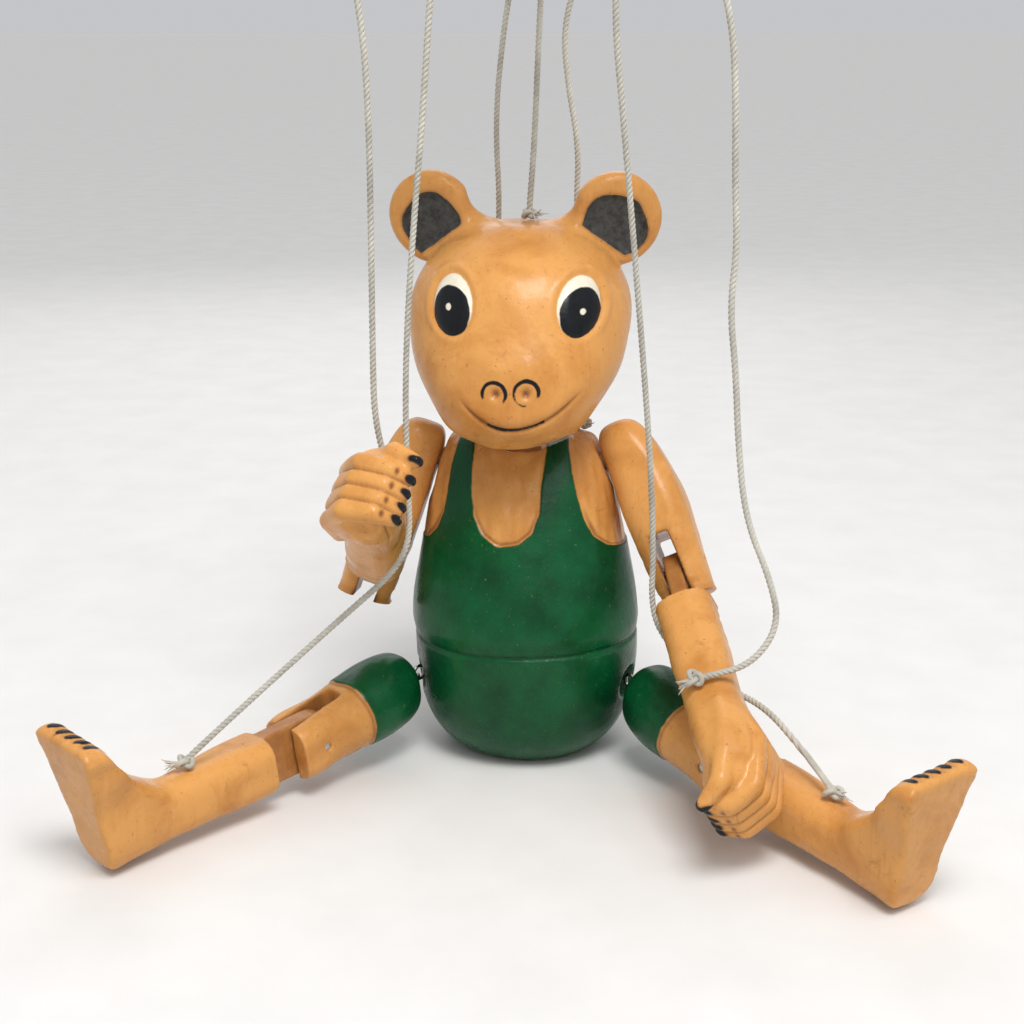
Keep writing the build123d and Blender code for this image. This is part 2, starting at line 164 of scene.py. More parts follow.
def add_lump(bm, centre, radii):
    """A rounded lump of wood, to be joined to a piece by its remeshing."""
    turn = Matrix.Translation(centre) @ Matrix.Diagonal((*radii, 1.0))
    bmesh.ops.create_icosphere(bm, subdivisions=4, radius=1.0, matrix=turn)


def evaluated_mesh(obj):
    bpy.context.view_layer.update()
    graph = bpy.context.evaluated_depsgraph_get()
    return bpy.data.meshes.new_from_object(obj.evaluated_get(graph))


def remeshed(name, matrix, lumps=(), smooth=2):
    """A fine even mesh of a CAD node and any added lumps, in the node's own frame."""
    bm = bmesh.new()
    bm.from_mesh(NODES[name].data)
    bm.transform(matrix.inverted())
    if matrix.determinant() < 0:
        bmesh.ops.reverse_faces(bm, faces=bm.faces)
    for centre, radii in lumps:
        add_lump(bm, centre, radii)
    rough = bpy.data.meshes.new(name + "_rough")
    bm.to_mesh(rough)
    bm.free()
    obj = bpy.data.objects.new(name + "_rough", rough)
    bpy.context.scene.collection.objects.link(obj)
    remesh = obj.modifiers.new("remesh", "REMESH")
    remesh.mode = "VOXEL"
    remesh.voxel_size = VOXEL
    even = obj.modifiers.new("even", "SMOOTH")
    even.factor = 0.5
    even.iterations = smooth
    mesh = evaluated_mesh(obj)
    bpy.data.objects.remove(obj)
    return mesh


def points_of(mesh):
    p = np.empty(len(mesh.vertices) * 3)
    mesh.vertices.foreach_get("co", p)
    return p.reshape(-1, 3)


def normals_of(mesh):
    n = np.empty(len(mesh.vertices) * 3, np.float32)
    mesh.vertex_normals.foreach_get("vector", n)
    return n.reshape(-1, 3).astype(float)


def move_points(mesh, p):
    mesh.vertices.foreach_set("co", p.ravel())
    mesh.update()


def relax(mesh, p, weight, rounds):
    """Smooths points towards their neighbours, as much as each point's weight says."""
    ends = np.empty(len(mesh.edges) * 2, int)
    mesh.edges.foreach_get("vertices", ends)
    a, b = ends.reshape(-1, 2).T
    size = len(p)
    near = (np.bincount(a, minlength=size) + np.bincount(b, minlength=size))[:, None]
    for _ in range(rounds):
        total = np.stack([
            np.bincount(a, p[b, k], size) + np.bincount(b, p[a, k], size) for k in range(3)
        ], axis=1)
        p = p + weight[:, None] * (total / near - p)
    move_points(mesh, p)
    return p


def store(mesh, name, values):
    attribute = mesh.attributes.new(name, "FLOAT", "POINT")
    attribute.data.foreach_set("value", np.asarray(values, np.float32))


def finish_piece(name, mesh, matrix, node, material):
    """Puts a finished local mesh in the row frame as the piece that stands for a CAD node."""
    mesh.transform(matrix)
    if matrix.determinant() < 0:
        mesh.flip_normals()
    mesh.shade_smooth()
    mesh.materials.clear()
    mesh.materials.append(material)
    obj = bpy.data.objects.new(name, mesh)
    bpy.context.scene.collection.objects.link(obj)
    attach(obj, BODY_OF[node])
    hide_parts(node)
    return obj


def carve(node, shaping, lumps=(), smooth=2, trim=None, soften=None):
    """Carves one wooden piece: shaping(p) gives the height, the paint and the painted shade at each point.

    Before that, trim(p) moves points, and soften(p) gives the weights and rounds of a smoothing.
    """
    matrix = FRAMES[node]
    mesh = remeshed(node, matrix, lumps, smooth)
    p = points_of(mesh)
    if trim:
        p = trim(p)
        move_points(mesh, p)
    if soften:
        p = relax(mesh, p, *soften(p))
    n = normals_of(mesh)
    height, paint = shaping(p)
    move_points(mesh, p + n * height[:, None])
    # The fourth layer is painted shade in the creases, hollows and joints
    for layer in ("green", "black", "white", "stain"):
        store(mesh, layer, paint.get(layer, np.full(len(p), NO_PAINT)))
    store(mesh, "matt", paint.get("matt", np.zeros(len(p))))
    return finish_piece("carved_" + node, mesh, matrix, node, MATERIALS["bear_paint"])


# Materials

TAN = (0.63, 0.300, 0.084)
TAN_SHADE = (0.50, 0.208, 0.048)
TAN_BROWN = (0.24, 0.078, 0.020)
# Painted shade: the dark red-brown laid in creases, pits, grooves, at the joints and under the feet, where shade
# falls
PAINTED_SHADE_COLOUR = (0.13, 0.030, 0.012)
GREEN_DARK = (0.001, 0.040, 0.012)
GREEN_LIGHT = (0.002, 0.092, 0.027)
GREEN_CHIP = (0.20, 0.19, 0.05)
CREAM_DARK = (0.62, 0.56, 0.42)
CREAM_LIGHT = (0.82, 0.78, 0.66)
BLACK = (0.006, 0.007, 0.009)
WORN_BLACK_DARK = (0.030, 0.030, 0.028)
WORN_BLACK_LIGHT = (0.085, 0.083, 0.075)
BEECH = ((0.50, 0.27, 0.115), (0.62, 0.38, 0.18), (0.66, 0.43, 0.22))
BEECH_PORE = (0.26, 0.12, 0.05)
STEEL = ((0.30, 0.29, 0.27), (0.62, 0.61, 0.58))
COTTON = ((0.33, 0.31, 0.26), (0.50, 0.48, 0.41), (0.58, 0.56, 0.48))
COTTON_FIBRE = (0.28, 0.26, 0.21)
FLOOR = ((0.70, 0.69, 0.67), (0.74, 0.73, 0.71))


class Shader:
    """Short hand for building one node material."""

    def __init__(self, name):
        self.material = bpy.data.materials.new(name)
        self.material.use_nodes = True
        self.tree = self.material.node_tree
        self.surface = self.tree.nodes["Principled BSDF"]

    def add(self, kind, inputs=(), **settings):
        node = self.tree.nodes.new(kind)
        for key, value in settings.items():
            setattr(node, key, value)
        for key, value in dict(inputs).items():
            self.put(node.inputs[key], value)
        return node

    def put(self, socket, value):
        """A value or another node's output into a socket."""
        if isinstance(value, bpy.types.NodeSocket):
            self.tree.links.new(value, socket)
        else:
            socket.default_value = value

    def set(self, **values):
        for key, value in values.items():
            self.put(self.surface.inputs[key.replace("_", " ")], value)

    def place(self):
        return self.add("ShaderNodeTexCoord").outputs["Object"]

    def stretch(self, vector, scale):
        return self.add("ShaderNodeMapping", {"Vector": vector, "Scale": scale}).outputs["Vector"]

    def noise(self, vector, scale, detail=3.0, rough=0.55, warp=0.0):
        inputs = {"Vector": vector, "Scale": scale, "Detail": detail, "Roughness": rough, "Distortion": warp}
        return self.add("ShaderNodeTexNoise", inputs).outputs["Fac"]

    def ramp(self, value, *stops):
        node = self.add("ShaderNodeValToRGB", {"Fac": value})
        while len(node.color_ramp.elements) < len(stops):
            node.color_ramp.elements.new(0.5)
        for element, (position, colour) in zip(node.color_ramp.elements, stops):
            element.position = position
            element.color = (*colour, 1.0)
        return node.outputs["Color"]

    def range(self, value, low, high, to_low=0.0, to_high=1.0):
        inputs = {0: value, 1: low, 2: high, 3: to_low, 4: to_high}
        return self.add("ShaderNodeMapRange", inputs, interpolation_type="SMOOTHSTEP").outputs[0]

    def math(self, operation, a, b=0.0):
        return self.add("ShaderNodeMath", {0: a, 1: b}, operation=operation).outputs[0]

    def mix(self, factor, a, b, blend="MIX"):
        node = self.add("ShaderNodeMix", data_type="RGBA", blend_type=blend)
        for index, value in ((0, factor), (6, a), (7, b)):
            self.put(node.inputs[index], value)
        return node.outputs[2]

    def layer(self, name):
        return self.add("ShaderNodeAttribute", attribute_name=name).outputs["Fac"]

    def bump(self, height, distance, strength=1.0, normal=None):
        inputs = {"Height": height, "Distance": distance, "Strength": strength}
        if normal is not None:
            inputs["Normal"] = normal
        return self.add("ShaderNodeBump", inputs).outputs["Normal"]


def rgb(*colour):
    return (*colour, 1.0)


def wood_colour(s, at, light, dark, brown):
    """Warm varnished paint over wood: clouds, long grain and small brown specks."""
    clouds = s.noise(at, 45.0, 4.0, 0.6, 0.6)
    base = s.ramp(clouds, (0.3, dark), (0.52, light), (0.75, light))
    grain = s.noise(s.stretch(at, (420.0, 420.0, 38.0)), 1.0, 5.0, 0.65, 0.8)
    base = s.mix(s.range(grain, 0.5, 0.74, 0.0, 0.45), base, rgb(*dark))
    blotch = s.noise(at, 95.0, 5.0, 0.7, 1.2)
    base = s.mix(s.range(blotch, 0.6, 0.76, 0.0, 0.55), base, rgb(*brown))
    specks = s.noise(at, 900.0, 2.0, 0.5)
    return s.mix(s.range(specks, 0.68, 0.74, 0.0, 0.55), base, rgb(*brown))


def bear_paint():
    """All the painted wood: tan, green, black and cream, as the layers on each mesh say, and a red-brown painted
    shade in its creases, hollows and joints.
    """
    s = Shader("bear_paint")
    at = s.place()
    wobble = s.math("MULTIPLY", s.math("SUBTRACT", s.noise(at, 260.0, 3.0), 0.5), 0.9)
    edge = {
        name: s.range(s.math("ADD", s.layer(name), wobble), -soft, soft)
        for name, soft in (("green", 0.3), ("black", 0.22), ("white", 0.22))
    }
    wood = wood_colour(s, at, TAN, TAN_SHADE, TAN_BROWN)
    # Painted shade: each mesh's shade layer darkens the wood towards that red-brown
    stain = s.range(s.math("ADD", s.layer("stain"), s.math("MULTIPLY", wobble, 0.35)), 0.1, 1.0)
    wood = s.mix(s.math("MULTIPLY", stain, 0.85), wood, rgb(*PAINTED_SHADE_COLOUR))
    green = s.ramp(s.noise(at, 60.0, 4.0, 0.6), (0.3, GREEN_DARK), (0.7, GREEN_LIGHT))
    chips = s.range(s.noise(at, 1100.0, 2.0), 0.70, 0.75, 0.0, 0.6)
    green = s.mix(chips, green, rgb(*GREEN_CHIP))
    colour = s.mix(edge["green"], wood, green)
    cream = s.mix(s.noise(at, 300.0, 3.0), rgb(*CREAM_DARK), rgb(*CREAM_LIGHT))
    colour = s.mix(edge["white"], colour, cream)
    worn = s.ramp(s.noise(at, 420.0, 5.0, 0.7), (0.35, WORN_BLACK_DARK), (0.7, WORN_BLACK_LIGHT))
    black = s.mix(s.layer("matt"), rgb(*BLACK), worn)
    colour = s.mix(edge["black"], colour, black)
    brush = s.noise(s.stretch(at, (900.0, 900.0, 160.0)), 1.0, 3.0)
    normal = s.bump(brush, 0.00012, 0.55)
    normal = s.bump(s.noise(at, 210.0, 4.0, 0.6), 0.00045, 0.6, normal)
    roughness = s.range(s.noise(at, 130.0, 4.0), 0.3, 0.7, 0.24, 0.42)
    roughness = s.math("ADD", roughness, s.math("MULTIPLY", s.layer("matt"), 0.35))
    s.set(Base_Color=colour, Roughness=roughness, Normal=normal)
    s.set(Specular_IOR_Level=0.16, Coat_Weight=0.16, Coat_Roughness=0.13)
    return s.material


def bare_wood():
    """Planed beech of the control and the pegs."""
    s = Shader("bare_wood")
    at = s.place()
    rings = s.noise(s.stretch(at, (160.0, 26.0, 160.0)), 1.0, 5.0, 0.6, 0.7)
    colour = s.ramp(rings, *zip((0.3, 0.5, 0.72), BEECH))
    pores = s.noise(s.stretch(at, (1500.0, 170.0, 1500.0)), 1.0, 3.0)
    colour = s.mix(s.range(pores, 0.62, 0.72, 0.0, 0.5), colour, rgb(*BEECH_PORE))
    s.set(Base_Color=colour, Roughness=s.range(rings, 0.3, 0.7, 0.42, 0.58))
    s.set(Normal=s.bump(pores, 0.0001, 0.5))
    return s.material


def steel():
    s = Shader("steel")
    tarnish = s.noise(s.place(), 700.0, 4.0, 0.6)
    s.set(Base_Color=s.ramp(tarnish, *zip((0.35, 0.65), STEEL)), Metallic=1.0)
    s.set(Roughness=s.range(tarnish, 0.3, 0.7, 0.24, 0.45), Normal=s.bump(tarnish, 0.00005, 0.4))
    return s.material


def cotton():
    """Off-white cord, grey in places, with fine fibres."""
    s = Shader("cotton")
    at = s.place()
    colour = s.ramp(s.noise(at, 60.0, 4.0, 0.6), *zip((0.3, 0.55, 0.75), COTTON))
    fibre = s.noise(s.stretch(at, (2600.0, 2600.0, 1300.0)), 1.0, 3.0, 0.7, 1.5)
    colour = s.mix(s.range(fibre, 0.55, 0.75, 0.0, 0.35), colour, rgb(*COTTON_FIBRE))
    s.set(Base_Color=colour, Roughness=0.9, Normal=s.bump(fibre, 0.00012, 0.7))
    s.set(Sheen_Weight=0.35, Sheen_Roughness=0.5)
    return s.material


def pale_floor():
    s = Shader("pale_floor")
    s.set(Base_Color=s.ramp(s.noise(s.place(), 30.0, 3.0), *zip((0.3, 0.7), FLOOR)), Roughness=0.75)
    return s.material


MATERIALS = {make.__name__: make() for make in (bear_paint, bare_wood, steel, cotton, pale_floor)}


# The head

# Places on the face are (x, z)
FACE_FRONT = (-8.0, -20.0)              # the y where the carving of the face starts and is full
# Middle and radii of each lid, then the middles of its pupil and its glint
EYES = [((-21.6, 166.0), (6.9, 9.3), (-21.8, 163.9), (-22.3, 165.1)),
        ((20.1, 165.9), (6.7, 9.35), (20.6, 163.7), (21.0, 164.2))]
PUPIL = (6.45, 7.75)                    # radii
GLINT = (0.95, 1.1)
EYEBALL = (0.60, 3.5)                   # height of the bulge and how soon it is reached
LID_GROOVE = (0.5, 0.7)                 # depth and half width
LID_RIM = (0.15, 0.5, 1.1)              # height on the nose side, what the outer side has more, half width
NOSTRILS = [(-5.7, 139.6), (4.4, 139.8)]
NOSTRIL_PIT = (1.6, 1.6)                # depth and half width
NOSTRIL_SWELL = (0.7, 3.9, 7.6)         # height, half width and how far above the nostril
NOSE_RINGS = [((-6.1, 139.4), 3.85), ((4.4, 139.9), 3.95)]
RING_STROKE = (0.50, 0.20)              # half width and how much it swells towards the top
RING_OPENS = [-1.72, -1.0]              # the angle at the middle of each ring's opening
RING_GAPS = [1.1, 0.6]                  # half of each opening
MOUTH = (-1.0, 127.6)
MOUTH_GROOVE = (1.1, 0.75)              # depth and half width
MOUTH_LIP = (0.5, 2.6, 3.0)             # height, half width and how far above the groove
LIP_PAINT = 0.55                        # half width of the black line
MOUTH_PAINT = (0.9, 9.6)                # middle and half width
DRIP = (3.6, 0.35, 1.5)                 # place, half width and drop
EAR_CENTRE = (31.5, 3.0, 190.5)
EAR_HOLLOW = (1.5, 11.3)                # depth and radius
EAR_RIM = 0.3
EAR_RADIUS = 18.0
EAR_TURN = (8.0, 14.0)                  # tipped forward, turned outward
EAR_CUT = (0.72, 9.9)                   # slope and height of the straight lower edge of the dark paint
CHIN = (4.6, 127.0, 113.0)              # how much shallower, and the heights where that starts and is full
# Wood between each ear and the crown, then the middle and reach of its smoothing
SADDLES = [((HEAD_X + s * 20.5, 3.0, 185.5), (11.5, 7.0, 9.0)) for s in SIDES.values()]
SADDLE_MIDDLE = (16.5, 3.0, 190.0)
SADDLE_REACH = (12.0, 5.0)
SADDLE_ROUNDS = 160


def ear_coordinates(p, s):
    """Distances towards the head, up and forward from the middle of one ear."""
    tip, turn = (math.radians(angle) for angle in EAR_TURN)
    front = np.array((s * math.sin(turn) * math.cos(tip), -math.cos(turn) * math.cos(tip), -math.sin(tip)))
    across = np.array((math.cos(turn), s * math.sin(turn), 0.0))
    up = np.cross(across, -front)
    q = p - np.array((HEAD_X + s * EAR_CENTRE[0], *EAR_CENTRE[1:]))
    return -s * (q @ across), q @ up, q @ front


def ear_shape(p, s):
    """Height of an ear's front, with its hollow, and its dark paint."""
    inward, up, front = ear_coordinates(p, s)
    uneven = 0.4 * np.sin(0.32 * inward + 2.0 * s) + 0.35 * np.sin(0.45 * up + s)
    hollow = np.hypot(inward - 1.0, up + 2.2) + uneven
    facing = step(0.4, 2.4, front) * step(EAR_RADIUS, EAR_RADIUS - 1.5, np.hypot(inward, up))
    open_side = (up - EAR_CUT[0] * inward + EAR_CUT[1]) / math.hypot(1.0, EAR_CUT[0])
    inside = np.minimum(EAR_HOLLOW[1] - hollow, open_side)
    height = facing * (EAR_RIM * hill(inside + 2.0, 1.4) - EAR_HOLLOW[0] * step(-0.6, 2.4, inside))
    return height, np.where(facing > 0.3, inside, NO_PAINT)


def mouth_line(x):
    """Height of the smile at each x."""
    run = x - MOUTH[0]
    return MOUTH[1] + np.where(run > 0, 0.022, 0.032) * run * run


def nose_ring(x, z, index):
    """Brush stroke round a nostril, thick at the top and open below."""
    (cx, cz), radius = NOSE_RINGS[index]
    angle = np.arctan2(z - cz, x - cx)
    away = np.abs((angle - RING_OPENS[index] + math.pi) % (2.0 * math.pi) - math.pi)
    width = RING_STROKE[0] + RING_STROKE[1] * np.cos(angle - 1.2)
    opening = 1.6 * (away - RING_GAPS[index])
    return np.minimum(width - np.abs(np.hypot(x - cx, z - cz) - radius), opening)


def eye_shape(x, z, eye, radii, pupil, glint):
    """Height, white and black of one eye."""
    lid = ellipse(x, z, eye, radii)
    outer = step(-4.0, 6.0, (x - eye[0]) * np.sign(eye[0]) + 0.8 * (z - eye[1]))
    height = EYEBALL[0] * step(0.0, EYEBALL[1], lid) - LID_GROOVE[0] * hill(lid + 0.3, LID_GROOVE[1])
    height += (LID_RIM[0] + LID_RIM[1] * outer) * hill(lid + 2.2, LID_RIM[2])
    iris = np.minimum(ellipse(x, z, pupil, PUPIL), lid + 0.25)
    return height, lid, np.minimum(iris, -ellipse(x, z, glint, GLINT))


def nose_shape(x, z, index):
    """Height, painted shade in the pit, and black of one nostril and its ring."""
    cx, cz = NOSTRILS[index]
    pit = hill(np.hypot(x - cx, z - cz), NOSTRIL_PIT[1])
    high, wide, above = NOSTRIL_SWELL
    height = high * hill(np.hypot(x - cx * 1.02, z - cz - above), wide) - NOSTRIL_PIT[0] * pit
    # The middle value is painted shade in the nostril's pit
    return height, 0.9 * pit, nose_ring(x, z, index)


def mouth_shape(x, z):
    """Height, painted shade along the groove, and black of the smile."""
    smile = z - mouth_line(x)
    length = np.abs(x - 2.0)
    deep, narrow = MOUTH_GROOVE
    high, wide, above = MOUTH_LIP
    height = high * hill(smile - above, wide) * step(24.0, 8.0, length)
    height -= deep * hill(smile, narrow) * step(21.0, 15.0, length)
    lips = np.minimum(LIP_PAINT - np.abs(smile), MOUTH_PAINT[1] - np.abs(x - MOUTH_PAINT[0]))
    drip = np.minimum(DRIP[1] - np.abs(x - DRIP[0]), DRIP[2] - np.abs(smile))
    # The middle value is painted shade along the smile's groove
    return height, 0.55 * hill(smile, 1.3) * step(22.0, 14.0, length), np.maximum(lips, drip)


def head_shape(p):
    x, y, z = p.T
    front = step(*FACE_FRONT, y)
    height = chisel(p, "head")
    stain = np.zeros(len(p))
    matt = np.zeros(len(p))
    blacks = []
    whites = []
    for eye in EYES:
        rise, white, black = eye_shape(x, z, *eye)
        height += front * rise
        whites.append(white)
        blacks.append(black)
    marks = [nose_shape(x, z, index) for index in range(len(NOSTRILS))] + [mouth_shape(x, z)]
    # Each mark's brown is painted shade in its pit or groove
    for rise, brown, black in marks:
        height += front * rise
        stain = np.maximum(stain, front * brown)
        blacks.append(black)
    white = np.where(front > 0.5, np.maximum.reduce(whites), NO_PAINT)
    black = np.where(front > 0.5, np.maximum.reduce(blacks), NO_PAINT)
    for s in SIDES.values():
        rise, dark = ear_shape(p, s)
        height += rise
        black = np.maximum(black, dark)
        matt = np.maximum(matt, (dark > -1.5) * 1.0)
        # Painted shade round the edge of each ear's carved hollow
        stain = np.maximum(stain, 0.5 * hill(dark + 0.3, 0.5) * (dark > NO_PAINT + 1.0))
    return height, {"black": black, "white": white, "stain": stain, "matt": matt}


def trim_head(p):
    """A shallower chin under the mouth."""
    moved = p.copy()
    lift, start, full = CHIN
    moved[:, 2] += lift * step(start, full, p[:, 2]) * step(0.0, -12.0, p[:, 1])
    return moved


def soften_head(p):
    """Runs the ears into the crown in one smooth hollow."""
    saddle = np.zeros(len(p))
    for s in SIDES.values():
        middle = np.array((HEAD_X + s * SADDLE_MIDDLE[0], *SADDLE_MIDDLE[1:]))
        saddle = np.maximum(saddle, step(*SADDLE_REACH, np.linalg.norm(p - middle, axis=1)))
    return saddle, SADDLE_ROUNDS


# The body

NECKLINE_ROUND = 3.5                    # the outlines below are this far inside the edge
NECKLINE_FRONT = [
    (-13.7, 125), (-13.9, 100), (-12.8, 92), (-10.4, 87.6), (-6.4, 85.2), (-1.6, 86), (1.4, 88.4),
    (3.1, 93), (3.3, 101), (4.4, 113), (4.7, 125),
]
NECKLINE_BACK = [(-14, 125), (-12.6, 110), (-8, 107), (-1, 107), (3.2, 110), (4.7, 125)]
ARMHOLE_LEVELS = (70, 77.5, 80, 84, 90, 97, 108, 116)
ARMHOLE_EDGES = {"left": (55, 35, 29.3, 24.6, 21.4, 19, 16.2, 14.8),
                 "right": (60, 39, 33.4, 30.2, 27.6, 26.2, 24.8, 23)}
WAIST_Z = 44.6
WAIST_GROOVE = (0.9, 0.75)              # depth and half width
BELLY = 0.7                             # how far the belly stands over the waist
PAINT_LEDGE = 0.6                       # thickness of the green paint's ledge
CHEST_STRETCH = (1.0, 1.0, 0.35)        # the cuts on the bare chest run up and down


def inside_outline(x, z, outline):
    """Signed distance to a closed outline, positive inside."""
    nearest = np.full(len(x), 1e9)
    inside = np.zeros(len(x), bool)
    for (ax, az), (bx, bz) in zip(outline, outline[1:] + outline[:1]):
        run, rise = bx - ax, bz - az
        t = np.clip(((x - ax) * run + (z - az) * rise) / (run * run + rise * rise), 0.0, 1.0)
        nearest = np.minimum(nearest, np.hypot(x - ax - t * run, z - az - t * rise))
        if rise:
            inside ^= ((az > z) != (bz > z)) & (x < ax + run * (z - az) / rise)
    return np.where(inside, nearest, -nearest)


def torso_shape(p):
    x, y, z = p.T
    outline = np.where(y < 2.0, inside_outline(x, z, NECKLINE_FRONT), inside_outline(x, z, NECKLINE_BACK))
    green = -outline - NECKLINE_ROUND
    for side, s in SIDES.items():
        edge = np.interp(z, ARMHOLE_LEVELS, ARMHOLE_EDGES[side])
        green = np.minimum(green, 0.85 * (edge - s * x))
    line = z - WAIST_Z - 0.6 * np.sin(x * 0.06 + 0.5)
    height = chisel(p, "torso") + PAINT_LEDGE * step(-0.7, 0.5, green)
    height += BELLY * step(0.0, 6.0, line) * step(40.0, 8.0, line)
    height -= WAIST_GROOVE[0] * hill(line, WAIST_GROOVE[1])
    height += chisel(p * CHEST_STRETCH, "chest") * step(0.5, -2.0, green)
    # Painted shade on the bare wood along the green paint's ledge, low on the neckline and armholes
    stain = 0.7 * hill(green + 0.9, 0.8) * (green < 0.4) * step(100.0, 86.0, z)
    return height, {"green": green, "stain": stain}


# Arms and hands

ARM_FORK = (-30.0, -36.0)               # heights where the painted shade in the fork starts and is full
FINGERS = (-5.8, 0.0, 5.6, 10.8)        # the y of each finger's ridge
FINGER_TIP = (-9.2, -98.8)              # the x and z of the fingers' claws
THUMB_TIP = (-8.5, -10.5, -100.7)
CLAW = (3.2, 1.5, 3.0)                  # radii
FINGER_CREASE = (0.75, 0.55)            # depth and half width
THUMB_CREASE = (0.6, 0.6, -9.6)         # depth, half width and place
KNUCKLE = (0.3, 0.9, -4.4)              # depth, half width and place
HAND_LUMPS = [((0.5, -1.0, -90.5), (9.5, 12.5, 9.8)), ((5.0, 1.5, -83.0), (9.6, 13.0, 15.0))]
HAND_START = -64.0
HAND_ROUNDS = 13

# Height, then the low x, high x and half width in y that the outer faces have there
PRONG_SIDES = [
    (-34, -9.5, 11.8, 10.9), (-40, -9.4, 11.4, 10.6), (-46, -9.3, 11.0, 10.2), (-52, -9.1, 10.7, 9.9),
    (-55, -9.0, 10.6, 9.7), (-57.3, -9.0, 10.5, 9.6),
]
BLOCK_SIDES = [
    (-18.8, -9.7, 10.0, 10.1), (-22, -9.6, 10.0, 10.1), (-26, -9.5, 10.0, 10.0), (-30, -9.4, 10.0, 9.9),
    (-36, -9.3, 10.0, 9.7), (-46, -9.1, 9.9, 9.4), (-58, -8.4, 9.8, 9.4),
]
FORK_HALF = 4.6                         # nothing nearer the middle than this moves sideways


def straighten(p, sides):
    """How far to move each point so that the outer faces run straight through the given sides."""
    x, y, z = p.T
    levels, factors = [], []
    for level, low, high, half in sorted(sides):
        near = p[np.abs(z - level) < 0.8]
        levels.append(level)
        factors.append((
            (low + FORK_HALF) / (near[:, 0].min() + FORK_HALF),
            (high - FORK_HALF) / (near[:, 0].max() - FORK_HALF),
            half / np.abs(near[:, 1]).max(),
        ))
    low, high, across = (np.interp(z, levels, column) for column in zip(*factors))
    out = np.maximum(np.abs(x) - FORK_HALF, 0.0)
    sideways = np.sign(x) * out * (np.where(x < 0, low, high) - 1.0)
    return np.stack([sideways, y * (across - 1.0), 0 * z], axis=1)


def trim_upper_arm(p):
    return p + step(-30.0, -34.0, p[:, 2])[:, None] * straighten(p, PRONG_SIDES)


def trim_forearm(p):
    block = step(-17.4, -18.3, p[:, 2]) * step(-64.0, -58.0, p[:, 2])
    return p + block[:, None] * straighten(p, BLOCK_SIDES)


def upper_arm_shape(p):
    x, _, z = p.T
    fork = step(*ARM_FORK, z) * step(5.4, 3.4, np.abs(x))
    # Painted shade in the fork between the prongs and on the lower end
    return chisel(p, "upper_arm"), {"stain": 0.6 * fork + 0.35 * step(-53.0, -56.0, z)}


def soften_hand(p):
    """Rounds the separate fingers into one curled paw."""
    return step(HAND_START + 8.0, HAND_START - 6.0, p[:, 2]), HAND_ROUNDS


def forearm_shape(p):
    x, y, z = p.T
    hand = step(HAND_START - 2.0, HAND_START - 9.0, z)
    crease = np.zeros(len(p))
    for low, high in zip(FINGERS, FINGERS[1:]):
        spread = (low + high) / 2 * (1.0 + 0.06 * step(-68.0, -84.0, z) - 0.18 * step(-88.0, -104.0, z))
        crease = np.maximum(crease, hill(y - spread, FINGER_CREASE[1]) * hand)
    thumb_side = hill(y - THUMB_CREASE[2], THUMB_CREASE[1]) * step(-74.0, -80.0, z) * step(2.0, 5.0, x)
    tips = [(FINGER_TIP[0], 0.8 * finger, FINGER_TIP[1]) for finger in FINGERS] + [THUMB_TIP]
    claws = CLAW[1] * np.max([
        1.0 - np.sqrt((((p - np.array(tip)) / CLAW) ** 2).sum(axis=1)) for tip in tips
    ], axis=0)
    ridge = np.max([hill(y - 0.86 * finger, 1.5) for finger in FINGERS], axis=0)
    knuckles = hill(x - KNUCKLE[2], KNUCKLE[1]) * step(-90.0, -95.0, z) * ridge
    height = chisel(p, "forearm") - FINGER_CREASE[0] * crease - THUMB_CREASE[0] * thumb_side
    height += 0.35 * step(-0.2, 0.6, claws) - KNUCKLE[0] * knuckles
    # Painted shade in the finger creases, at the knuckles, on the tongue that sits in the elbow's fork, and round
    # the claws
    tongue = 0.6 * step(-19.5, -17.0, z)
    claw_edge = 0.45 * hill(claws, 0.6) * (claws < 0.2)
    stain = np.maximum.reduce([0.6 * crease, 0.95 * knuckles, tongue, claw_edge])
    return height, {"black": claws, "stain": stain}


# Legs and feet

GREEN_END = -33.5
SOLE_Z = -86.0
TOE_TIP = -38.0
TOES = (-9.4, -5.0, -0.4, 4.2, 9.2)
TOE_SPREAD = 0.36
TOE_SLANT = 0.09
TOE_CREASE = (1.0, 0.55)                # depth and half width
TOE_SWELL = (0.5, 1.3)                  # height and half width
NAIL = (1.5, 2.6, 3.0)                  # radii
NAIL_BACK = 0.9                         # from the toe's tip back to the middle of its nail
NAIL_DOWN = 1.6                         # from the sole's upper edge down to that
# Height, how far forward the front of the shank is there, and how much is added
INSTEP = [
    (-82, 31.0, 0.0), (-80, 27.1, 0.7), (-76, 19.5, 3.3), (-74, 16.8, 3.9), (-72, 14.7, 3.9),
    (-70, 13.2, 3.4), (-66, 11.2, 2.3), (-62, 9.9, 1.0), (-57, 9.5, 0.0),
]
LEG_FORK = (-38.0, -43.0)               # heights where the painted shade in the fork starts and is full
FOOT_ROUNDS = 70


def trim_foot(p):
    """Spreads the toes, sets them a little aslant and slopes the instep."""
    moved = p.copy()
    x, y, z = p.T
    foot = step(-70.0, -78.0, z)
    moved[:, 0] *= 1.0 + TOE_SPREAD * foot * step(-28.0, TOE_TIP, y)
    moved[:, 1] -= TOE_SLANT * x * foot * step(-24.0, TOE_TIP, y)
    levels, fronts, extras = zip(*INSTEP)
    moved[:, 1] -= np.interp(z, levels, extras) * np.clip(-y / np.interp(z, levels, fronts), 0.0, 1.0)
    return moved


def soften_foot(p):
    """Runs the shank into the foot, and wears the edges of the foot."""
    z = p[:, 2]
    ankle = step(-84.0, -76.0, z) * step(-52.0, -62.0, z) * step(-26.0, -17.0, p[:, 1])
    return np.maximum(ankle, 0.10 * step(-56.0, -66.0, z)), FOOT_ROUNDS


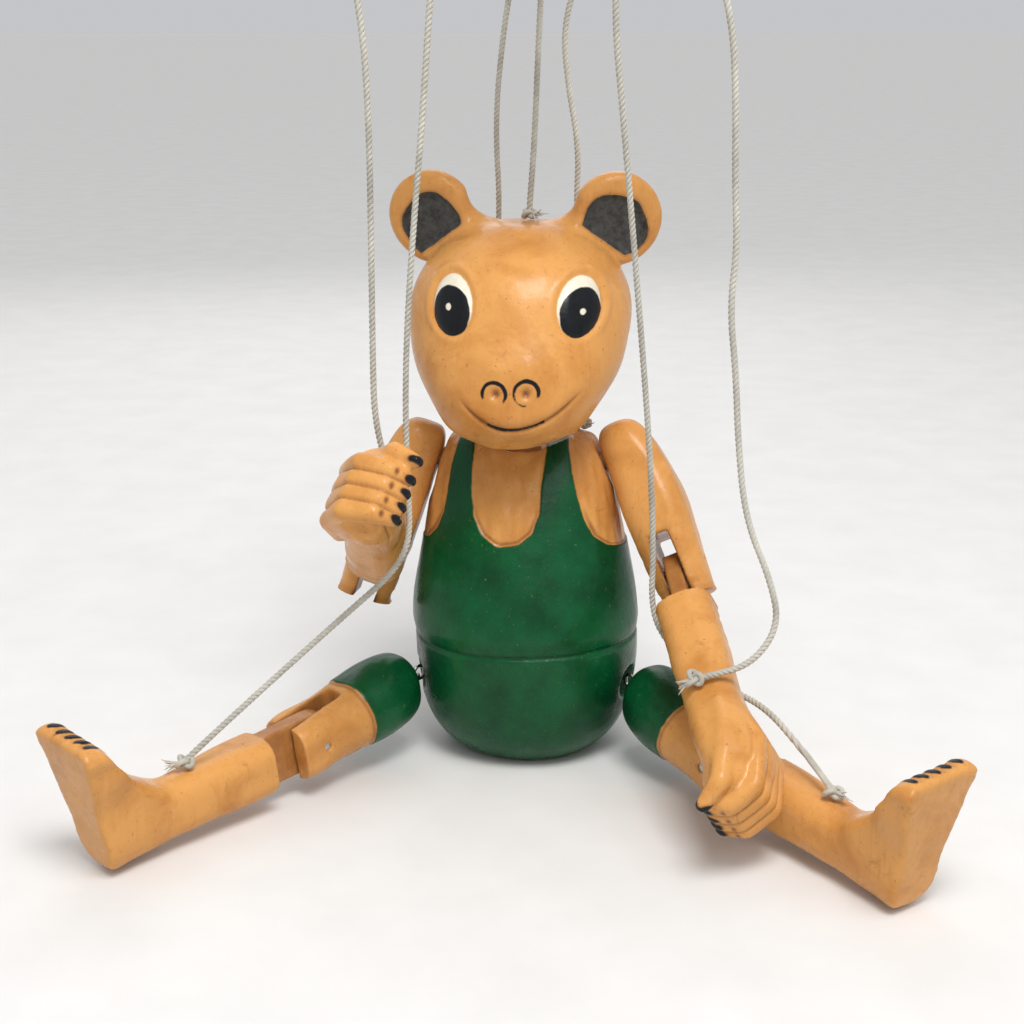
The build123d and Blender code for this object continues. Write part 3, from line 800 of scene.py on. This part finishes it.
def thigh_shape(p):
    x, y, z = p.T
    green = z - GREEN_END - 0.10 * y - 0.7 * np.sin(0.35 * x + 0.2 * y)
    height = chisel(p, "thigh") + 0.55 * step(-0.8, 0.6, green)
    # Painted shade in the knee fork and under the green paint's ledge
    fork = step(*LEG_FORK, z) * step(5.6, 3.6, np.abs(x))
    edge = hill(green + 0.9, 1.0) * (green < 0.2)
    return height, {"green": green, "stain": 0.6 * np.maximum(fork, edge)}


def shank_shape(p):
    x, y, z = p.T
    toe_end = step(TOE_TIP + 9.0, TOE_TIP + 4.5, y) * step(SOLE_Z - 6.0, SOLE_Z - 3.0, z)
    gaps = [(a + b) / 2 for a, b in zip(TOES, TOES[1:])]
    crease = np.max([hill(x - gap, TOE_CREASE[1]) for gap in gaps], axis=0) * toe_end
    swell = np.max([hill(x - toe, TOE_SWELL[1]) for toe in TOES], axis=0) * toe_end
    nails = []
    for toe in TOES:
        middle = np.array((toe, TOE_TIP + NAIL_BACK - TOE_SLANT * toe, SOLE_Z - NAIL_DOWN))
        nails.append(NAIL[0] * (1.0 - np.sqrt((((p - middle) / NAIL) ** 2).sum(axis=1))))
    height = chisel(p, "shank") + TOE_SWELL[0] * swell - TOE_CREASE[0] * crease
    # Painted shade on the tongue that sits in the knee fork, in the toe creases and on the sole
    tongue = 0.55 * step(-23.0, -20.0, z)
    sole = 0.25 * step(SOLE_Z + 1.0, SOLE_Z - 2.0, z)
    return height, {"black": np.max(nails, axis=0), "stain": np.maximum.reduce([0.6 * crease, tongue, sole])}


carve("torso", torso_shape)
carve("head", head_shape, lumps=SADDLES, trim=trim_head, soften=soften_head)
for side in SIDES:
    carve(f"upper_arm_{side}", upper_arm_shape, trim=trim_upper_arm)
    carve(f"forearm_{side}", forearm_shape, lumps=HAND_LUMPS, smooth=1, trim=trim_forearm, soften=soften_hand)
    carve(f"thigh_{side}", thigh_shape)
    carve(f"shank_{side}", shank_shape, smooth=1, trim=trim_foot, soften=soften_foot)


# CAD nodes that show as they are, with a better material

LOOK_OF_SLOT = {"painted_wood": "bear_paint", "bare_wood": "bare_wood", "steel": "steel"}


def dress_nodes():
    for part in frame["record"]["subparts"]:
        look = LOOK_OF_SLOT.get(part["material_slot"])
        if look:
            materials = NODES[part["node"]].data.materials
            materials.clear()
            materials.append(MATERIALS[look])


dress_nodes()


# Strings. Each follows its CAD route, in millimetres above the seat, from the control down.

BAR_TOP = 286.9
CORD_R = 1.1
LAY_LENGTH = 5.0                        # one turn of the cord's strands
STRANDS = 3
STRAND_POINTS = 8                       # points of the cross section on each strand
STRAND_RELIEF = 0.26                    # depth between two strands, as a part of the cord's radius

ROUTES = {
    "string_right_hand": [
        (-50, -52, BAR_TOP), (-49, -52, 274), (-45.2, -52, 250), (-44.2, -52.3, 222), (-44.6, -51.5, 186),
        (-45, -51.2, 152), (-45, -51, 130), (-40.5, -48.7, 110.3),
    ],
    "string_right_leg": [
        (-23.5, -52, BAR_TOP), (-23.5, -52, 274), (-25.3, -52.3, 253), (-27.6, -52.8, 224), (-31, -53.6, 190),
        (-33.9, -54.6, 150), (-34, -54.8, 112), (-33.1, -54.5, 91.6), (-37.3, -60.7, 82.2),
        (-51.3, -67.6, 70.4), (-75.5, -80, 49.4), (-98.6, -92.3, 28.8),
    ],
    "string_right_shoulder": [
        (-8.5, 34, BAR_TOP), (-8.5, 34, 274), (-12.4, 34, 254), (-15.8, 34.3, 221), (-13.8, 34.5, 188),
        (-17, 34.5, 160), (-21, 23, 138), (-23.1, 9.4, 120.5),
    ],
    "string_head": [
        (4, 4, BAR_TOP + 9), (4, 4, 275), (2.6, 3.6, 243), (1.6, 3, 215), (0.2, 2, 195.6),
    ],
    "string_left_shoulder": [
        (16.5, 34, BAR_TOP), (15, 34, 274), (8.4, 34, 254), (10.2, 34.3, 234), (14.5, 34, 212),
        (13.6, 34.5, 190), (15.3, 34.5, 162), (18.6, 24, 138), (19.4, 9.5, 120.4),
    ],
    "string_left_leg": [
        (31.5, -52, BAR_TOP), (31.5, -52, 274), (31.2, -51, 254), (34, -49.5, 228), (37.9, -46, 189),
        (41.5, -43, 152), (44.5, -39, 118), (46.2, -34.4, 84), (45.8, -31.4, 61), (52, -33, 50),
        (61.3, -39.9, 43.5), (74.5, -51.5, 41.3), (85, -62.7, 40.3), (94.6, -75.2, 34),
        (103.2, -87, 26.9),
    ],
    "string_left_hand": [
        (58, -52, BAR_TOP), (60, -52, 274), (66.2, -52, 255), (68, -52, 232), (68.6, -53, 208),
        (70, -54, 189), (68.4, -55, 170), (71, -56.5, 150), (72.4, -58, 129), (75.6, -61, 104),
        (84.3, -65, 85), (87.5, -68.3, 71), (79, -72.5, 59), (64.9, -74.2, 55.2),
    ],
}
KNOT_OF = {
    "string_right_hand": "knot_wrist_right", "string_right_leg": "knot_ankle_right",
    "string_right_shoulder": "knot_shoulder_right", "string_head": "knot_head",
    "string_left_shoulder": "knot_shoulder_left", "string_left_leg": "knot_ankle_left",
    "string_left_hand": "knot_wrist_left",
}


def strand_profile():
    """Cross section of the twisted cord: a ring with one lobe for each strand.

    It is drawn in millimetres, and the radius of every point on a cord scales it down to metres.
    """
    curve = bpy.data.curves.new("strand_profile", "CURVE")
    curve.dimensions = "2D"
    count = STRAND_POINTS * STRANDS
    spline = curve.splines.new("POLY")
    spline.points.add(count - 1)
    for i, point in enumerate(spline.points):
        angle = 2.0 * math.pi * i / count
        lobe = abs(math.cos(STRANDS * angle / 2.0))
        radius = CORD_R * (1.0 - STRAND_RELIEF + STRAND_RELIEF * lobe)
        point.co = (radius * math.cos(angle), radius * math.sin(angle), 0.0, 1.0)
    spline.use_cyclic_u = True
    obj = bpy.data.objects.new("strand_profile", curve)
    bpy.context.scene.collection.objects.link(obj)
    obj.hide_render = True
    obj.hide_viewport = True
    return obj


def string_curve(name, points, profile):
    """Smooth twisted cord with the route's points as control points."""
    curve = bpy.data.curves.new(name + "_cord", "CURVE")
    curve.dimensions = "3D"
    spline = curve.splines.new("NURBS")
    spline.points.add(len(points) - 1)
    turned = 0.0
    before = points[0]
    for point, target in zip(spline.points, points):
        turned += (target - before).length
        before = target
        point.co = (*target, 1.0)
        point.radius = MM
        point.tilt = 2.0 * math.pi * turned / (LAY_LENGTH * MM)
    spline.order_u = 3
    spline.use_endpoint_u = True
    spline.resolution_u = 48
    curve.bevel_mode = "OBJECT"
    curve.bevel_object = profile
    curve.use_fill_caps = True
    curve.materials.append(MATERIALS["cotton"])
    obj = bpy.data.objects.new(name + "_cord", curve)
    bpy.context.scene.collection.objects.link(obj)
    return obj


def line_length(obj):
    """Length of a curve's own line."""
    bare = obj.data.copy()
    bare.bevel_mode = "ROUND"
    bare.bevel_depth = 0.0
    probe = bpy.data.objects.new("probe", bare)
    bpy.context.scene.collection.objects.link(probe)
    p = points_of(evaluated_mesh(probe))
    bpy.data.objects.remove(probe)
    return float(np.linalg.norm(np.diff(p, axis=0), axis=1).sum())


def follower(name, knot):
    """A point that goes where a knot goes, without turning."""
    low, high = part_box(knot)
    middle = (low + high) / 2
    marker = bpy.data.objects.new(name + "_end", None)
    marker.location = middle
    bpy.context.scene.collection.objects.link(marker)
    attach(marker, BODY_OF[knot])
    follow = bpy.data.objects.new(name + "_pull", None)
    bpy.context.scene.collection.objects.link(follow)
    copy = follow.constraints.new("COPY_LOCATION")
    copy.target = marker
    return follow, middle


def pull_along(obj, name, knot):
    """The string's lower end stays on its knot, and the rest gives way less and less above it."""
    follow, middle = follower(name, knot)
    points = obj.data.splines[0].points
    heights = [0.0]
    for a, b in zip(points, points[1:]):
        heights.append(heights[-1] + (b.co - a.co).length)
    for i, along in enumerate(heights[2:], start=2):
        hook = obj.modifiers.new(f"pull_{i}", "HOOK")
        hook.object = follow
        hook.strength = min(1.0, (along - heights[1]) / (heights[-1] - heights[1]))
        hook.vertex_indices_set([i])
        hook.matrix_inverse = Matrix.Translation(-middle)


def add_strings():
    profile = strand_profile()
    for name, route in ROUTES.items():
        low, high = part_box(KNOT_OF[name])
        points = [SEATED @ Vector(point) for point in route] + [(low + high) / 2]
        obj = string_curve(name, points, profile)
        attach(obj, BODY_OF[name])
        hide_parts(name)
        line_length(obj)
        if BODY_OF[KNOT_OF[name]] != BODY_OF[name]:
            pull_along(obj, name, KNOT_OF[name])


# Knots. Each is an overhand knot with a frayed end, lying flat on what it is tied to.

KNOT_CORD_R = 0.85
KNOT_TURN = 0.92                        # size of the loops
KNOT_LIFT = 2.3                         # from the top of the control to the middle of a knot
KNOT_POINTS = 26
KNOT_DEPTH = 1.15
FRAYS = 9
FRAY_START = (1.8, 0.3, 0.2)
FRAY_LENGTH = (3.0, 5.2)
FRAY_RADII = [0.8, 0.36, 0.12]
HEAD_TAIL = (0.6, -0.5, 0.3)            # the way the frayed end on the head points


def knot_curve():
    curve = bpy.data.curves.new("knot", "CURVE")
    curve.dimensions = "3D"
    curve.bevel_depth = KNOT_CORD_R
    curve.bevel_resolution = 3
    curve.resolution_u = 6
    curve.use_fill_caps = True
    return curve


def add_spline(curve, points, radii=None, closed=False):
    spline = curve.splines.new("NURBS")
    spline.points.add(len(points) - 1)
    for i, (point, target) in enumerate(zip(spline.points, points)):
        point.co = (*target, 1.0)
        point.radius = radii[i] if radii else 1.0
    spline.order_u = 3
    spline.use_cyclic_u = closed
    spline.use_endpoint_u = not closed


def tie_knot(curve, centre, up, tail, seed):
    """An overhand knot lying across up, with its frayed end towards tail."""
    random = np.random.default_rng(seed)
    z = Vector(up).normalized()
    x = Vector(tail) - Vector(tail).dot(z) * z
    x = x.normalized() if x.length > 1e-6 else z.orthogonal().normalized()
    turn = Matrix((x, z.cross(x), z)).transposed()
    size = KNOT_TURN * random.uniform(0.9, 1.08)
    loop = []
    for i in range(KNOT_POINTS):
        t = 2.0 * math.pi * i / KNOT_POINTS
        wide = 1.0 + 0.12 * math.sin(t + seed)
        flat = Vector((
            wide * (math.sin(t) + 2.0 * math.sin(2.0 * t)),
            math.cos(t) - 2.0 * math.cos(2.0 * t),
            -KNOT_DEPTH * math.sin(3.0 * t),
        ))
        loop.append(Vector(centre) + turn @ (flat * size))
    add_spline(curve, loop, closed=True)
    start = Vector(centre) + turn @ Vector(FRAY_START)
    for _ in range(FRAYS):
        away = turn @ Vector((1.0, *(random.normal(size=2) * (0.36, 0.2))))
        reach = random.uniform(*FRAY_LENGTH)
        curl = turn @ Vector((0.0, *(random.normal(size=2) * (0.9, 0.5))))
        add_spline(curve, [start, start + away * reach * 0.5, start + away * reach + curl], FRAY_RADII)


def knot_piece(node, centres, ups, tails):
    """The tied knots of one node, joined into one mesh."""
    curve = knot_curve()
    for i, (centre, up, tail) in enumerate(zip(centres, ups, tails)):
        tie_knot(curve, centre, up, tail, seed=len(node) * 31 + i)
    probe = bpy.data.objects.new("probe", curve)
    bpy.context.scene.collection.objects.link(probe)
    mesh = evaluated_mesh(probe)
    bpy.data.objects.remove(probe)
    finish_piece("tied_" + node, mesh, SEATED, node, MATERIALS["cotton"])


def knot_facing(knot):
    """The way out of the surface that a knot is tied on."""
    for limb, part in (("wrist", "forearm"), ("ankle", "shank")):
        if limb in knot:
            side = knot.rsplit("_", 1)[1]
            return (FRAMES[f"{part}_{side}"].to_3x3() @ Vector((0, -1, 0))).normalized()
    return Vector((0, 0, 1))


def add_knots():
    for name, knot in KNOT_OF.items():
        low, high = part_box(knot)
        centre = SEATED.inverted() @ ((low + high) / 2)
        last, before = (Vector(ROUTES[name][i]) for i in (-1, -2))
        tail = Vector(HEAD_TAIL) if name == "string_head" else last - before
        knot_piece(knot, [centre], [knot_facing(knot)], [tail])
    tops = [Vector(route[0]) + Vector((0, 0, KNOT_LIFT)) for route in ROUTES.values()]
    tails = [(math.cos(i * 2.2), math.sin(i * 2.2), 0.2) for i in range(len(tops))]
    knot_piece("control_knots", tops, [(0, 0, 1)] * len(tops), tails)


add_strings()
add_knots()


# Floor, light and camera

FLOOR_SIZE = 60.0
FLOOR_GAP = 0.6                         # under the seat, in millimetres
LIGHTS_AIM = (0, -20, 100)
# Place in the seated frame, size in metres and power of each soft box
SOFT_BOXES = {"key": ((170, -520, 1000), 0.4, 7.5), "back": ((-250, 800, 700), 0.8, 2.0)}
SKY = {"power": 0.85, "softness": 50.0, "turn": (30.0, 16.0, 0.0)}
ROOM = {"colour": (0.96, 0.97, 1.0), "strength": 0.58}
CAMERA = {"distance": 0.6, "azimuth": 6.5, "elevation": 16.5, "lens": 58.6, "target": (-5.7, 0.0, 85.6)}


def add_floor():
    bm = bmesh.new()
    bmesh.ops.create_grid(bm, x_segments=2, y_segments=2, size=FLOOR_SIZE / 2)
    mesh = bpy.data.meshes.new("floor")
    bm.to_mesh(mesh)
    bm.free()
    mesh.materials.append(MATERIALS["pale_floor"])
    floor = bpy.data.objects.new("floor", mesh)
    floor.location = SEATED @ Vector((0, 0, -FLOOR_GAP))
    bpy.context.scene.collection.objects.link(floor)


def aim(obj, target):
    obj.rotation_euler = (target - obj.location).to_track_quat("-Z", "Y").to_euler()


def add_soft_box(name, at, size, power):
    data = bpy.data.lights.new(name, "AREA")
    data.size = size
    data.energy = power
    light = bpy.data.objects.new(name, data)
    light.location = SEATED @ Vector(at)
    bpy.context.scene.collection.objects.link(light)
    aim(light, SEATED @ Vector(LIGHTS_AIM))


def add_sky(power, softness, turn):
    data = bpy.data.lights.new("sky", "SUN")
    data.energy = power
    data.angle = math.radians(softness)
    sky = bpy.data.objects.new("sky", data)
    sky.rotation_euler = [math.radians(angle) for angle in turn]
    bpy.context.scene.collection.objects.link(sky)


def add_lights():
    for name, (at, size, power) in SOFT_BOXES.items():
        add_soft_box(name, at, size, power)
    add_sky(**SKY)
    world = bpy.data.worlds.new("studio")
    world.use_nodes = True
    background = world.node_tree.nodes["Background"]
    background.inputs["Color"].default_value = rgb(*ROOM["colour"])
    background.inputs["Strength"].default_value = ROOM["strength"]
    bpy.context.scene.world = world
    bpy.context.scene.view_settings.view_transform = "Standard"


def add_camera():
    azimuth, elevation = math.radians(CAMERA["azimuth"]), math.radians(CAMERA["elevation"])
    level = math.cos(elevation)
    back = Vector((math.sin(azimuth) * level, -math.cos(azimuth) * level, math.sin(elevation)))
    target = SEATED @ Vector(CAMERA["target"])
    data = bpy.data.cameras.new("camera")
    data.lens = CAMERA["lens"]
    data.clip_start = 0.01
    camera = bpy.data.objects.new("camera", data)
    camera.location = target + back * CAMERA["distance"]
    bpy.context.scene.collection.objects.link(camera)
    aim(camera, target)
    bpy.context.scene.camera = camera


add_floor()
add_lights()
add_camera()
